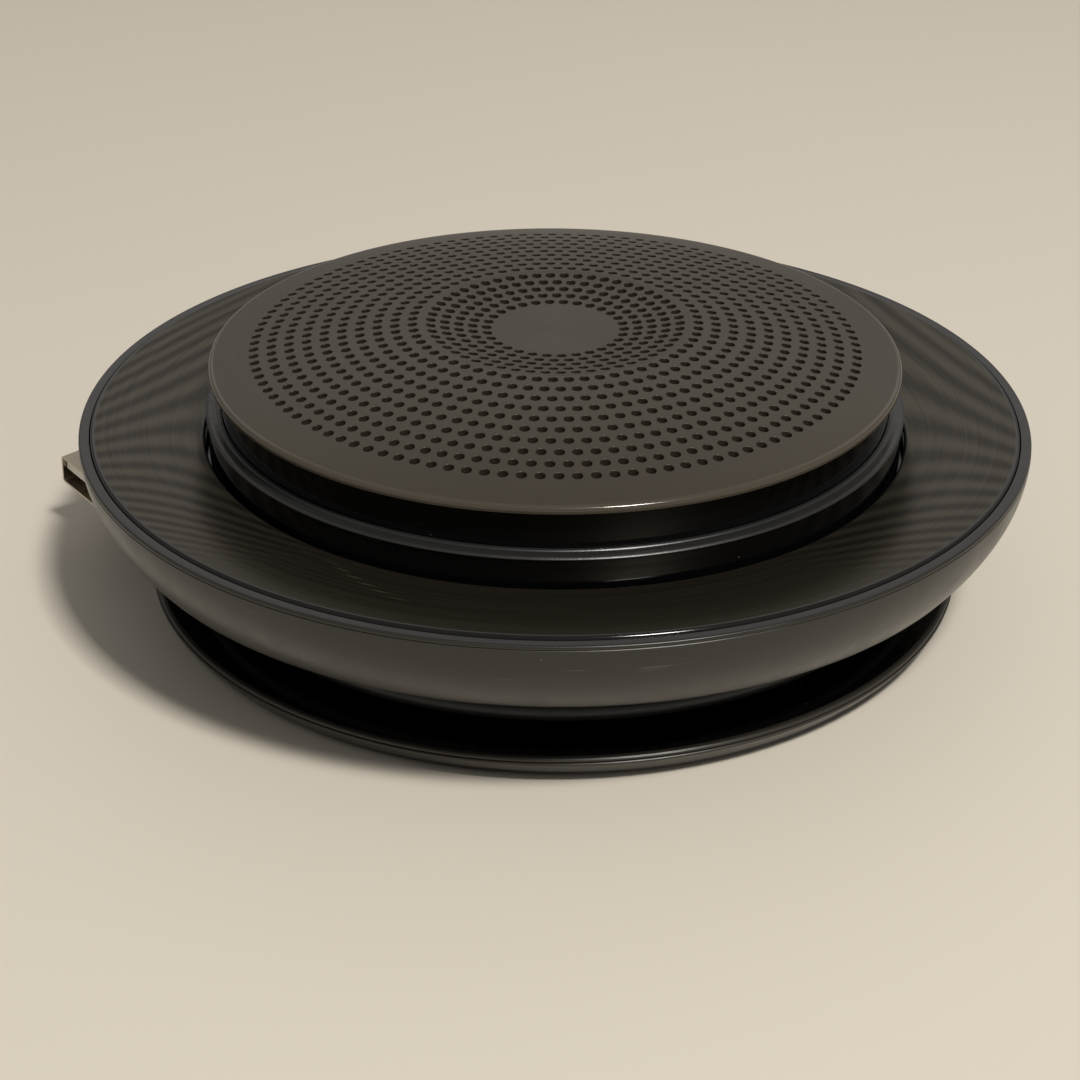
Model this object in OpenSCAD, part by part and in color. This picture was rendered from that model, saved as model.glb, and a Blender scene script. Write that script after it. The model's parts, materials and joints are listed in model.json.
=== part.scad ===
// Conference speakerphone: a low round table unit with a perforated steel
// grille over one full-range driver, a touch-key cone ring in a round bowl,
// a base disc with a fold-out stand, and a USB cord wound in the groove
// between bowl and base.
// Origin: centre of the foot plane. +Z is up. The front of the unit faces -Y.

/* [Overall] */
// Height of the widest point of the bowl; the whole top of the unit goes with it
rim_z = 25.0; // [24:0.5:32]
// Wall of the moulded shells
wall = 1.8; // [1.4:0.1:2]

/* [Base] */
// How far the base disc reaches out past the drum, the depth of the cord's groove
groove_w = 14.5; // [13:0.1:16]
// Height of the base disc's top face above the table
base_top = 3.9; // [3.7:0.1:4.1]
// Height of the base disc's underside, the foot's free thickness
base_z = 0.6; // [0.4:0.1:0.7]
// How far the rubber foot ring stays inside the base's edge
foot_inset = 4.5; // [3.5:0.5:6]
// Width of the rubber foot ring
foot_w = 8.5; // [6:0.5:8.5]
// Radius of the rubber pad in the middle of the underside
pad_r = 22; // [20:0.5:24]

/* [Hub] */
// How far the drum that the cord is wound on stands outside the driver
hub_gap = 4; // [3.6:0.1:4.3]
// Height of the top face of the drum's floor
hub_floor = 8.2; // [7.8:0.1:8.4]
// Screws that clamp drum, bowl and chassis together
clamp_n = 4; // [3:1:6]

/* [Bowl] */
// How far the bowl's side draws in from its widest line to the turn at the bottom
turn_in = 4.2; // [3:0.1:6]
// Height of the bowl's side from that turn to the widest line
side_h = 10.4; // [9.5:0.1:11]
// Width of the rim's top, between the touch ring and the widest line
rim_band = 1.54; // [1.3:0.02:2.5]

/* [Touch ring] */
// Width of the ring
ring_w = 15.66; // [14:0.02:18]
// Gap between the ring and the satin ledge
ring_gap = 0.5; // [0.3:0.05:0.6]
// Fall of the ring's face from its outer edge to its inner edge
ring_fall = 2.5; // [2:0.1:3]
// Thickness of the ring
ring_t = 1.2; // [1:0.1:1.5]

/* [Neck] */
// Clearance between the driver's flange and the inside of the neck
driver_gap = 5.5; // [5:0.1:6.2]
// Width of the satin ledge round the foot of the neck
ledge_w = 2; // [1.6:0.1:3]
// Height of the ledge's seat above the bowl's widest line
ledge_h = 1.85; // [1.6:0.05:2.1]

/* [Grille] */
// Overhang of the grille past the neck
overhang = 1.4; // [1.2:0.1:2]
// Height of the grille's lower edge above the bowl's widest line
grille_h = 7.85; // [7.5:0.05:9]
// Sheet thickness
sheet = 0.8; // [0.5:0.1:0.9]
// Height of the grille's upright edge, under the dome
edge_h = 0.893; // [0.85:0.001:1.6]
// Radius of the sphere that the dome follows
dome_R = 229; // [225:1:260]
// Radius of the sphere that the dish in the middle follows
dish_R = 107; // [90:1:130]
// Radius of the crest where dish and dome meet
crest_r = 18.7; // [16:0.1:21]
// Radius of the plain disc in the middle
disc_r = 8.6; // [7:0.1:9.6]

/* [Driver] */
// Radius of the driver's flange
driver_r = 39.5; // [36:0.5:45]
// Travel of the cone each way
stroke = 1.5; // [0.5:0.1:2]
// Radius of the pole in the magnet
pole_r = 8.3; // [7:0.1:8.5]
// Radius of the magnet
magnet_r = 21; // [18:0.5:22]

/* [Stand] */
// Width of the half-ring stand
stand_w = 10; // [9:0.5:12]
// Clearance between the stand and the inside of the drum
stand_gap = 1.7; // [1.7:0.1:3]
// Thickness of the stand
stand_t = 2; // [1.6:0.1:2]
// Height of the stand's hinge axis
stand_axis = 2.4; // [2.3:0.1:2.5]
// Radius of the hinge pins
pin_r = 0.8; // [0.6:0.1:0.8]
// Clearance of the pins in the stand, on the radius
pin_fit = 0.05; // [0.02:0.01:0.1]

/* [Cord] */
// Diameter of the USB cord
cord_d = 2.8; // [2.4:0.1:2.9]
// Step of the wound cord from turn to turn
cord_pitch = 2.9; // [2.9:0.05:3]
// Distance from the drum to the cord's centre at the outer end of the winding
coil_w = 9.7; // [8.5:0.1:10]
// Angle wound from the outer end to the inner end
coil_sweep = 1000; // [952:12:1012]

/* [Plug] */
// Width of the plug's metal shell
plug_w = 12; // [11.9:0.1:12.1]
// Height of the plug's metal shell
plug_h = 4.5; // [4.4:0.1:4.6]
// Length of the metal shell outside the grip
plug_len = 12; // [11:0.5:13]
// Length of the moulded grip
grip_len = 13; // [12:0.5:13]
// Distance from the drum to the plug's centre line
plug_gap = 6.8; // [6.5:0.1:7.5]
// Direction in which the plug's tail points
plug_az = 43.4; // [40:0.1:46]
// Height of the middle of the plug's mouth
plug_z = 9.15; // [9:0.05:9.3]
// Slope of the plug, tail higher than mouth
plug_pitch = 2; // [1:0.1:2.5]
// Lean of the plug, outer edge higher
plug_roll = 7; // [5:0.5:8]

/* [Hidden] */
$fn = 96;

// Radii, from the driver outwards.
neck_in = driver_r + driver_gap;
neck_r = neck_in + wall;
step_r = neck_r + ledge_w;
ring_in = step_r + ring_gap;
ring_out = ring_in + ring_w;
rim_r = ring_out + rim_band;
hub_r = driver_r + hub_gap;
hub_in = hub_r - wall;
base_r = hub_r + groove_w;
coil_r = hub_r + coil_w;
plug_off = hub_r + plug_gap;
stand_out = hub_in - stand_gap;
stand_in = stand_out - stand_w;

// Grille: a dome sphere, and a dish sphere sunk into its crown.
grille_r = neck_r + overhang;
grille_z = rim_z + grille_h;
dome_z = grille_z + edge_h - sqrt(dome_R * dome_R - grille_r * grille_r);
crest_z = dome_z + sqrt(dome_R * dome_R - crest_r * crest_r);
dish_z = crest_z + sqrt(dish_R * dish_R - crest_r * crest_r);
disc_z = dish_z - sqrt(dish_R * dish_R - disc_r * disc_r);
skirt_in = grille_r - sheet;

// Bowl and touch ring.
limb_r = rim_r - turn_in;
limb_z = rim_z - side_h;
belly_z = limb_z - 1.7;
belly_in = belly_z + wall;
rim_top = rim_z + 0.4;
ring_out_z = rim_z + 0.81;
ring_in_z = ring_out_z - ring_fall;
ring_seat = ring_out_z - 1.5;
ring_foot = ring_out - 2.06;

// Chassis: deck, wall, neck and driver shelf.
step_z = rim_z + ledge_h;
deck_t = 1.2;
deck_r = limb_r - 0.3;
deck_z = rim_z - 5.6;
deck_top = deck_z + deck_t;
shelf_top = grille_z - 1.65;
shelf_z = shelf_top - deck_t;
shelf_in = driver_r - 6;
cloth_r = neck_in + 1;
lip_r = skirt_in - 0.05;
lip_top = grille_z + 0.15;
lip_z = lip_top - 1;
led_top = deck_top + 0.8;
led_r = deck_r - 0.2;
slot_r = (step_r + led_r) / 2 - 1.3;
slot_az = 250;

// Main board, under the deck.
board_top = deck_z - 1.2;
board_z = board_top - 1;
board_in = hub_r + 2.5;
board_r = deck_r - 1.6;
board_screw_r = board_r - 3.4;
cell_sector = 24;
cell_socket_az = 30.5;
mic_r = ring_in + 2;

// Drum.
hub_under = hub_floor - 1.6;
boss_top = hub_under - 1;
clamp_r = driver_r - 3;
base_screw_r = 16;

// Driver levels, from its flange down.
flange_z = shelf_top + 0.5;
flange_top = flange_z + 1.2;
plate_top = flange_z - 11.3;
plate_z = plate_top - 2;
magnet_z = plate_z - 5.6;
yoke_z = magnet_z - 3;
spider_z = plate_top + 2.2;
cone_z = plate_top + 4.9;
cone_top = flange_z + 1.1;
cone_r = driver_r - 13.5;
surround_r = driver_r - 8.5;
coil_gap = 0.35;
former_t = 0.4;
coil_in = pole_r + coil_gap;
coil_out = coil_in + former_t;
coil_z = plate_z - stroke;
plate_in = coil_out + coil_gap;
yoke_r = magnet_r - 1;
magnet_in = coil_out + 1.45;
basket_in = coil_out + 3.45;
cone_mid = coil_out + 0.41 * (cone_r - coil_out);
tag_r = yoke_r + 6;

// Cord and plug.
cord_r = cord_d / 2;
cord_z = base_top + cord_r + 0.02;
foot_az = plug_az + 90;
mouth_s = 48;
plug_base_s = mouth_s - plug_len;
grip_end_s = plug_base_s - grip_len;
boot_len = 9;
boot_end_s = grip_end_s - boot_len;
entry_az = foot_az - coil_sweep - 14 + 1080;
entry_z = 11.2;
entry_slant = 44;

// Revolves a closed outline of [radius, height] points.
module spin(points, fn = 180) {
  rotate_extrude($fn = fn) polygon(points);
}

// A flat ring between two radii.
module ring(r_out, r_in, z, h, fn = 120) {
  translate([0, 0, z]) difference() {
    cylinder(h = h, r = r_out, $fn = fn);
    translate([0, 0, -1]) cylinder(h = h + 2, r = r_in, $fn = fn);
  }
}

// Copies its children n times round the axis at radius r.
module around(n, r, start = 0) {
  for (i = [0:n - 1])
    rotate(start + i * 360 / n) translate([r, 0, 0]) children();
}

// A wedge between two azimuths, for cutting rings into sectors.
module sector(a0, a1, r, z, h) {
  mid = (a0 + a1) / 2;
  translate([0, 0, z]) linear_extrude(h)
    polygon([[0, 0], for (k = [0:4])
      let (a = a0 + (a1 - a0) * k / 4)
      r / cos((a1 - a0) / 8) * [cos(a), sin(a)]]);
}

// A rectangular bar with rounded long edges, along X, from x0 to x1.
module bar(x0, x1, w, h, r) {
  translate([x0, 0, 0]) rotate([90, 0, 90]) linear_extrude(x1 - x0)
    union() {
      square([w - 2 * r, h], center = true);
      square([w, h - 2 * r], center = true);
      for (sx = [-1, 1], sy = [-1, 1])
        translate([sx * (w / 2 - r), sy * (h / 2 - r)]) circle(r = r, $fn = 24);
    }
}

// Sweeps a round section along a list of points that bend gently.
module sweep(path, r, up = [0, 0, 1], sides = 8) {
  n = len(path);
  function tangent(i) = let (d = path[min(i + 1, n - 1)] - path[max(i - 1, 0)]) d / norm(d);
  function rim(i) =
    let (t = tangent(i), a = cross(t, up), u = a / norm(a), v = cross(u, t))
    [for (k = [0:sides - 1]) path[i] + r * (cos(360 * k / sides) * u + sin(360 * k / sides) * v)];
  polyhedron(
    points = [for (i = [0:n - 1], p = rim(i)) p],
    faces = concat(
      [[for (k = [sides - 1:-1:0]) k]],
      [[for (k = [0:sides - 1]) (n - 1) * sides + k]],
      [for (i = [0:n - 2], k = [0:sides - 1])
        let (m = (k + 1) % sides)
        [i * sides + m, (i + 1) * sides + m, (i + 1) * sides + k, i * sides + k]]
    ),
    convexity = 10
  );
}

// A screw with a thin head below and its shank up +Z.
module screw(head_r, head_h, shank_r, len, drive_r) {
  difference() {
    union() {
      cylinder(h = head_h, r = head_r, $fn = 32);
      cylinder(h = head_h + len, r = shank_r, $fn = 24);
    }
    translate([0, 0, -0.01]) rotate(45) cube([drive_r * 2, 0.45, 0.9], center = true);
    translate([0, 0, -0.01]) rotate(-45) cube([drive_r * 2, 0.45, 0.9], center = true);
  }
}

// ---- Grille ----

// The solid under one skin of the grille: dome, dish and plain disc.
module grille_blank(inset, r) {
  difference() {
    intersection() {
      translate([0, 0, dome_z]) sphere(r = dome_R - inset, $fn = 400);
      translate([0, 0, grille_z]) cylinder(h = 10, r = r, $fn = 180);
    }
    difference() {
      translate([0, 0, dish_z]) sphere(r = dish_R + inset, $fn = 400);
      cylinder(h = disc_z - inset, r = disc_r + inset, $fn = 120);
    }
  }
}

module speaker_grille() {
  color([0.34, 0.31, 0.27]) difference() {
    grille_blank(0, grille_r);
    grille_blank(sheet, skirt_in);
    translate([0, 0, grille_z - 1]) cylinder(h = 1.02, r = skirt_in, $fn = 180);
  }
}

module grille_cloth() {
  color([0.1, 0.1, 0.1]) difference() {
    grille_blank(sheet + 0.05, cloth_r);
    grille_blank(sheet + 0.3, grille_r);
    translate([0, 0, grille_z - 1]) cylinder(h = 1.7, r = grille_r, $fn = 180);
  }
}

// ---- Chassis, ledge and touch ring ----

module chassis() {
  color([0.06, 0.06, 0.065]) difference() {
    union() {
      spin([
        [step_r - 1.4, deck_z], [deck_r, deck_z], [deck_r, deck_top],
        [step_r, deck_top], [step_r, step_z], [neck_r, step_z],
        [neck_r, lip_z], [lip_r, lip_z], [lip_r, lip_top],
        [neck_in, lip_top], [neck_in, shelf_top], [shelf_in, shelf_top],
        [shelf_in, shelf_z], [neck_in, shelf_z], [neck_in, step_z - deck_t],
        [step_r - 1.4, step_z - deck_t]
      ]);
      around(clamp_n, clamp_r, 45)
        translate([0, 0, hub_floor]) cylinder(h = shelf_z - hub_floor + 0.5, r = 2.8, $fn = 32);
      around(clamp_n, 0, 45)
        translate([clamp_r + 2, -0.6, deck_top])
          cube([neck_in - clamp_r - 1.5, 1.2, shelf_z - deck_top + 0.5]);
      around(6, board_screw_r, 30)
        translate([0, 0, board_top]) cylinder(h = deck_z - board_top + 0.5, r = 2, $fn = 24);
    }
    around(clamp_n, clamp_r, 45)
      translate([0, 0, hub_floor - 1]) cylinder(h = 9, r = 1.0, $fn = 24);
    around(clamp_n, clamp_r, 45)
      translate([0, 0, shelf_top - 5]) cylinder(h = 8, r = 0.9, $fn = 24);
    around(6, board_screw_r, 30)
      translate([0, 0, board_top - 1]) cylinder(h = 3, r = 0.7, $fn = 24);
    ribbon_slot();
  }
}

// The slot through which the flat ribbon goes down to the main board.
module ribbon_slot() {
  rotate(slot_az) translate([slot_r, -4.5, deck_z - 1]) cube([1, 9, 4]);
}

module trim_ring() {
  color([0.16, 0.16, 0.16]) spin([
    [neck_r + 0.05, step_z], [step_r + 0.05, step_z], [step_r + 0.2, step_z + 0.15],
    [step_r + 0.13, step_z + 0.3], [step_r - 0.1, step_z + 0.43], [step_r - 0.5, step_z + 0.53],
    [neck_r + 0.75, step_z + 0.57], [neck_r + 0.6, step_z + 0.68], [neck_r + 0.35, step_z + 0.75],
    [neck_r + 0.12, step_z + 0.73], [neck_r + 0.05, step_z + 0.65]
  ]);
}

// Height of the touch ring's underside at radius r.
function ring_under(r) = ring_in_z - ring_t
  + (ring_seat - ring_in_z + ring_t) * (r - ring_in) / (ring_foot - ring_in);

module touch_ring() {
  color([0.2, 0.18, 0.16]) spin([
    [ring_in, ring_under(ring_in)], [ring_foot, ring_seat], [ring_out, ring_seat],
    [ring_out, ring_out_z - 0.5], [ring_out - 0.06, ring_out_z - 0.3],
    [ring_out - 0.22, ring_out_z - 0.13], [ring_out - 0.45, ring_out_z - 0.07],
    [ring_in + 0.15, ring_in_z + 0.02], [ring_in, ring_in_z - 0.13]
  ]);
}

module touch_film() {
  a = mic_r + 2.3;
  b = led_r - 3.2;
  color([0.75, 0.6, 0.2]) spin([
    [a, ring_under(a) - 0.32], [b, ring_under(b) - 0.32],
    [b, ring_under(b) - 0.02], [a, ring_under(a) - 0.02]
  ]);
}

module light_guide() {
  a = led_r - 2.6;
  b = led_r + 0.2;
  color([0.9, 0.9, 0.88]) spin([
    [a, led_top + 0.6], [b, led_top + 0.6], [b, ring_under(b) - 0.02], [a, ring_under(a) - 0.02]
  ]);
}

module led_board() {
  color([0.05, 0.3, 0.12]) difference() {
    ring(led_r, step_r + 0.9, deck_top, led_top - deck_top);
    ribbon_slot();
  }
}

module status_leds() {
  color([0.95, 0.95, 0.9]) around(24, led_r - 1.2)
    translate([-0.8, -0.8, led_top]) cube([1.6, 1.6, 0.6]);
}

module microphones() {
  color([0.75, 0.7, 0.5]) around(4, mic_r, 15)
    translate([-1.1, -1.3, led_top]) cube([2.2, 2.6, 0.5]);
}

module mic_boots() {
  color([0.08, 0.08, 0.08]) around(4, mic_r, 15) difference() {
    translate([-1.8, -2, led_top]) cube([3.4, 4, 0.7]);
    translate([-1.1, -1.3, led_top - 1]) cube([2.2, 2.6, 1.5]);
    translate([0, 0, led_top]) cylinder(h = 2, r = 0.4, $fn = 16);
  }
}

// ---- Loudspeaker driver ----

module driver_frame() {
  color([0.25, 0.25, 0.27]) difference() {
    spin([
      [basket_in, plate_top], [yoke_r + 2.5, plate_top], [yoke_r + 4, plate_top + 1.6],
      [shelf_in - 0.3, flange_z - 1.3], [shelf_in - 0.3, flange_z],
      [driver_r, flange_z], [driver_r, flange_top], [surround_r, flange_top],
      [surround_r, flange_z - 1.3], [yoke_r + 2.6, spider_z], [yoke_r, spider_z],
      [yoke_r, plate_top + 1], [basket_in, plate_top + 1]
    ]);
    for (i = [0:5]) rotate(30 + 60 * i)
      translate([yoke_r + 3.3, -6.5, plate_top + 3]) cube([12, 13, 5.6]);
    around(clamp_n, clamp_r, 45)
      translate([0, 0, flange_z - 1]) cylinder(h = 4, r = 1.15, $fn = 24);
  }
}

module driver_gasket() {
  color([0.12, 0.12, 0.12]) difference() {
    ring(driver_r, shelf_in + 0.3, shelf_top, flange_z - shelf_top);
    around(clamp_n, clamp_r, 45)
      translate([0, 0, shelf_top - 1]) cylinder(h = 3, r = 1.15, $fn = 24);
  }
}

module driver_top_plate() {
  color([0.6, 0.6, 0.62]) ring(yoke_r, plate_in, plate_z, plate_top - plate_z);
}

module driver_magnet() {
  color([0.2, 0.2, 0.21]) ring(magnet_r, magnet_in, magnet_z, plate_z - magnet_z);
}

module driver_yoke() {
  color([0.62, 0.62, 0.64]) {
    translate([0, 0, yoke_z]) cylinder(h = magnet_z - yoke_z, r = yoke_r, $fn = 120);
    translate([0, 0, yoke_z]) cylinder(h = plate_top - yoke_z, r = pole_r, $fn = 96);
  }
}

// The coil former with its winding and collar; it moves with the cone.
module voice_coil() {
  color([0.72, 0.42, 0.2]) ring(coil_out, coil_in, coil_z, cone_z + 0.3 - coil_z);
}

// The corrugated suspension, four waves from the frame to the coil.
module spider() {
  a = coil_out + 0.3;
  b = yoke_r;
  n = 16;
  function wave(k) = spider_z + (k == 0 || k == n ? 0 : 0.45 * sin(k * 90));
  upper = [for (k = [0:n]) [a + (b - a) * k / n, wave(k) + 0.3]];
  lower = [for (k = [n:-1:0]) [a + (b - a) * k / n, wave(k)]];
  color([0.75, 0.65, 0.35]) {
    spin(concat(upper, lower), 96);
    ring(b + 2.4, b - 0.1, spider_z, 0.3);
  }
}

module cone() {
  color([0.12, 0.12, 0.12]) spin([
    [coil_out, cone_z - 0.6], [coil_out + 0.9, cone_z - 0.2], [cone_mid, cone_z + 3.4],
    [cone_r - 0.6, cone_top - 0.5], [cone_r, cone_top - 0.5], [cone_r, cone_top],
    [cone_r - 0.8, cone_top], [cone_mid - 0.3, cone_z + 3.9], [coil_out, cone_z + 0.3]
  ], 120);
}

module dust_cap() {
  cap_r = coil_out + 1;
  cap_R = 16;
  cap_foot = cone_z + 0.31 + 3.6 * (cap_r - coil_out) / (cone_mid - 0.3 - coil_out);
  cap_z = cap_foot - sqrt(cap_R * cap_R - cap_r * cap_r);
  color([0.16, 0.16, 0.16]) intersection() {
    difference() {
      translate([0, 0, cap_z]) sphere(r = cap_R, $fn = 160);
      translate([0, 0, cap_z]) sphere(r = cap_R - 0.4, $fn = 160);
    }
    translate([0, 0, cap_foot]) cylinder(h = 10, r = cap_r + 1, $fn = 96);
  }
}

// The half-roll edge between cone and frame.
module surround() {
  a = cone_r + 0.3;
  b = surround_r;
  mid = (a + b) / 2;
  half = (b - a) / 2;
  color([0.09, 0.09, 0.09]) {
    spin(concat(
      [for (k = [0:8]) [mid - half * cos(k * 22.5), flange_top + half * 0.75 * sin(k * 22.5)]],
      [for (k = [8:-1:0])
        [mid - (half - 0.35) * cos(k * 22.5), flange_top + (half * 0.75 - 0.35) * sin(k * 22.5)]]
    ), 120);
    ring(b + 3.5, b - 0.2, flange_top, 0.3);
  }
}

module driver_screws() {
  color([0.5, 0.5, 0.52]) around(clamp_n, clamp_r, 45)
    translate([0, 0, flange_top + 1.1]) rotate([180, 0, 0]) screw(2, 1.1, 0.85, 5.4, 1.2);
}

module driver_terminals() {
  color([0.6, 0.5, 0.25]) rotate(-30) {
    translate([tag_r - 2.4, -4, plate_top + 0.1]) cube([3.1, 8, 0.8]);
    for (y = [-2.5, 2.5]) translate([tag_r, y - 0.6, plate_top + 0.9]) cube([0.5, 1.2, 1.6]);
  }
}

module speaker_leads() {
  color([0.6, 0.1, 0.1]) rotate(-30) for (y = [-2.5, 2.5])
    sweep([[tag_r + 0.6, y, plate_top + 2.2], [tag_r + 3, y, plate_top + 1.2],
      [driver_r - 5.5, y, board_top + 1.4], [driver_r + 0.5, y, board_top + 0.6],
      [board_in + 0.5, y, board_top + 0.55]], 0.4);
}

// ---- Bowl ----

// Radius of the bowl's outer side at height z.
function side(z) = rim_r - (rim_r - limb_r) * pow((rim_z - z) / (rim_z - limb_z), 2);

module lower_shell() {
  steps = 10;
  outer = [for (k = [0:steps]) let (z = limb_z + (rim_z - limb_z) * k / steps) [side(z), z]];
  low_in = belly_in + 1.4;
  inner = [for (k = [steps:-1:1])
    let (z = low_in + (deck_z - 1.6 - low_in) * k / steps) [side(z) - wall, z]];
  ledge_r = ring_foot + 0.6;
  color([0.2, 0.2, 0.19])
    spin(concat(
      [[hub_r + 0.1, belly_z], [limb_r - 2.2, limb_z - 0.65], [limb_r - 0.9, limb_z - 0.55],
       [limb_r - 0.3, limb_z - 0.35]],
      outer,
      [[rim_r - 0.05, rim_z + 0.15], [rim_r - 0.18, rim_z + 0.29], [rim_r - 0.4, rim_z + 0.38],
       [rim_r - 0.65, rim_top], [ring_out + 0.08, rim_top], [ring_out + 0.08, ring_seat],
       [ledge_r, ring_seat], [ledge_r, ring_seat - 1.2], [side(rim_z - 3) - wall, rim_z - 3],
       [side(rim_z - 4) - wall, rim_z - 4], [deck_r + 0.3, rim_z - 4], [deck_r + 0.3, deck_z],
       [deck_r - 1.4, deck_z], [side(deck_z - 1.6) - wall, deck_z - 1.6]],
      inner,
      [[limb_r - 3, belly_in + 1.1], [hub_r + 2.2, belly_in], [hub_r + 0.1, belly_in]]
    ));
}

// ---- Electronics ----

module main_board() {
  color([0.05, 0.35, 0.15]) difference() {
    ring(board_r, board_in, board_z, board_top - board_z);
    sector(-cell_sector, cell_sector, board_r + 5, board_z - 1, 4);
    around(6, board_screw_r, 30) translate([0, 0, board_z - 1]) cylinder(h = 4, r = 1, $fn = 24);
  }
}

module board_chips() {
  color([0.08, 0.08, 0.09]) {
    for (a = [70, 100, 118, 221, 234, 290]) rotate(a)
      translate([board_in + 4, -3.5, board_top]) cube([5, 7, 0.9]);
    for (a = [45:8:317]) if (abs(a - entry_az + 9) > 9) rotate(a)
      translate([board_in + 1.2, -0.5, board_top]) cube([0.6, 1.2, 0.5]);
  }
}

module shield_can() {
  color([0.75, 0.75, 0.77]) rotate(172) difference() {
    translate([board_in + 2, -9, board_top]) cube([8, 18, 1.1]);
    translate([board_in + 2.2, -8.8, board_top - 1]) cube([7.6, 17.6, 1.9]);
  }
}

module board_sockets() {
  color([0.9, 0.88, 0.82]) {
    rotate(cell_socket_az) translate([board_in + 2, 0, board_z - 1]) cube([4, 5, 1]);
    rotate(-30) translate([board_in + 0.5, -4, board_top]) cube([3.5, 8, 1.1]);
    rotate(slot_az) translate([slot_r - 5, -5, board_top]) cube([3.7, 10, 1.1]);
    rotate(entry_az) translate([board_in + 0.4, -10.2, board_top]) cube([3, 6, 1.1]);
  }
}

module board_screws() {
  color([0.55, 0.55, 0.57]) around(6, board_screw_r, 30)
    translate([0, 0, board_z - 0.7]) screw(1.6, 0.7, 0.65, 2.8, 1);
}

// The flat cell beside the drum: its span outwards, half its length, its thickness.
cell_in = hub_r + 2.7;
cell_out = limb_r - wall - 2.1;
cell_half = 17;
cell_t = 3.2;
cell_z = deck_z - 0.2 - cell_t / 2;
module battery() {
  color([0.55, 0.57, 0.6]) translate([(cell_in + cell_out) / 2, 0, cell_z])
    rotate(90) bar(-cell_half, cell_half, cell_out - cell_in, cell_t, 1.2);
}

module battery_pad() {
  color([0.15, 0.15, 0.16]) difference() {
    translate([cell_in + 1.8, -14, belly_in])
      cube([cell_out - cell_in - 3.2, 28, cell_z - cell_t / 2 - belly_in]);
    spin([[hub_r, belly_in - 1], [limb_r + 1.7, belly_in - 1],
      [limb_r - 3, belly_in + 1.12], [hub_r + 2.2, belly_in + 0.02], [hub_r, belly_in + 0.02]]);
  }
}

module battery_leads() {
  color([0.7, 0.1, 0.1]) for (k = [0, 1]) {
    tip = board_in + 4.44 + 1.71 * k;
    sweep([[cell_in + 2.8 + 1.6 * k, cell_half, cell_z],
      [cell_in + 2.5 + 1.6 * k, cell_half + 2.5, cell_z - 0.4],
      [cell_in + 0.8 + 1.4 * k, cell_half + 5, board_z - 0.6],
      polar(tip, cell_socket_az - 0.5, board_z - 0.6)], 0.4);
  }
}

module flex_ribbon() {
  color([0.7, 0.5, 0.15]) rotate(slot_az) {
    translate([slot_r + 0.3, -4, board_top + 0.3]) cube([0.3, 8, led_top - board_top]);
    translate([slot_r - 1.2, -4, board_top + 0.3]) cube([1.8, 8, 0.3]);
    translate([slot_r + 0.3, -4, led_top]) cube([1.6, 8, 0.3]);
  }
}

// ---- Drum, cord and plug ----

module cable_spool() {
  flange_r = hub_r + 1.9;
  color([0.05, 0.05, 0.055]) difference() {
    union() {
      spin([
        [0, hub_under], [hub_in, hub_under], [hub_in, base_top], [hub_r, base_top],
        [hub_r, belly_in], [flange_r, belly_in], [flange_r, belly_in + 1.2],
        [hub_in, belly_in + 1.2], [hub_in, hub_floor], [0, hub_floor]
      ]);
      around(4, base_screw_r, 45) translate([0, 0, boss_top])
        cylinder(h = hub_floor + 1.4 - boss_top, r = 3, $fn = 32);
    }
    around(clamp_n, clamp_r, 45)
      translate([0, 0, hub_under - 1]) cylinder(h = 5, r = 1.3, $fn = 24);
    around(4, base_screw_r, 45)
      translate([0, 0, boss_top - 1]) cylinder(h = 3.6, r = 1, $fn = 24);
    cord_hole(2.8);
  }
}

// The slanting hole by which the cord goes through the drum's wall.
module cord_hole(r) {
  rotate(entry_az + 0.6) translate([hub_r - wall / 2, 0, entry_z]) rotate(-90 - entry_slant)
    rotate([0, 90, 0]) cylinder(h = 12, r = r, center = true, $fn = 32);
}

module cord_grommet() {
  color([0.07, 0.07, 0.07]) difference() {
    intersection() {
      ring(hub_r, hub_in - 0.8, entry_z - 3, 6);
      cord_hole(2.76);
    }
    cord_hole(cord_r + 0.8);
  }
}

// Point at distance s before the foot of the plug's centre line.
function tail(s) = [
  plug_off * cos(foot_az) - s * cos(plug_az),
  plug_off * sin(foot_az) - s * sin(plug_az),
  plug_z + (mouth_s - s) * tan(plug_pitch)
];
function ease(t) = t * t * (3 - 2 * t);
function polar(r, a, z) = [r * cos(a), r * sin(a), z];

// The wound cord: down from the plug, round the drum, and in at the grommet.
lead_sweep = 64;
lead_top = 10.5;
rise_sweep = 72;
coil_step = 12;
function coil_at(a) = coil_r - cord_pitch * a / 360;
cord_path = concat(
  [tail(boot_end_s + 3), tail(boot_end_s - 2), tail(6)],
  [for (p = [[0, 0, 1], [0.12, 10, 0.944], [0.37, 20, 0.777], [0.61, 30, 0.535],
      [0.86, 39, 0.275], [1, 48, 0.089], [1, 56, 0]])
    polar(plug_off + (coil_at(56) - plug_off) * p[0], foot_az - p[1],
      cord_z + (lead_top - cord_z) * p[2])],
  [for (a = [lead_sweep:coil_step:coil_sweep])
    polar(coil_at(a), foot_az - a,
      cord_z + (entry_z - cord_z) * ease(max(0, (a - coil_sweep + rise_sweep) / rise_sweep)))],
  [for (p = [[1.55, 9], [1.45, 5.6], [0.4, 2.3], [-1.5, -0.6], [-3.5, -2.9], [-5.2, -4.8]])
    polar(hub_r + p[0], entry_az + p[1], entry_z)]
);

module usb_cord() {
  color([0.05, 0.05, 0.05]) sweep(cord_path, cord_r);
}

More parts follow.
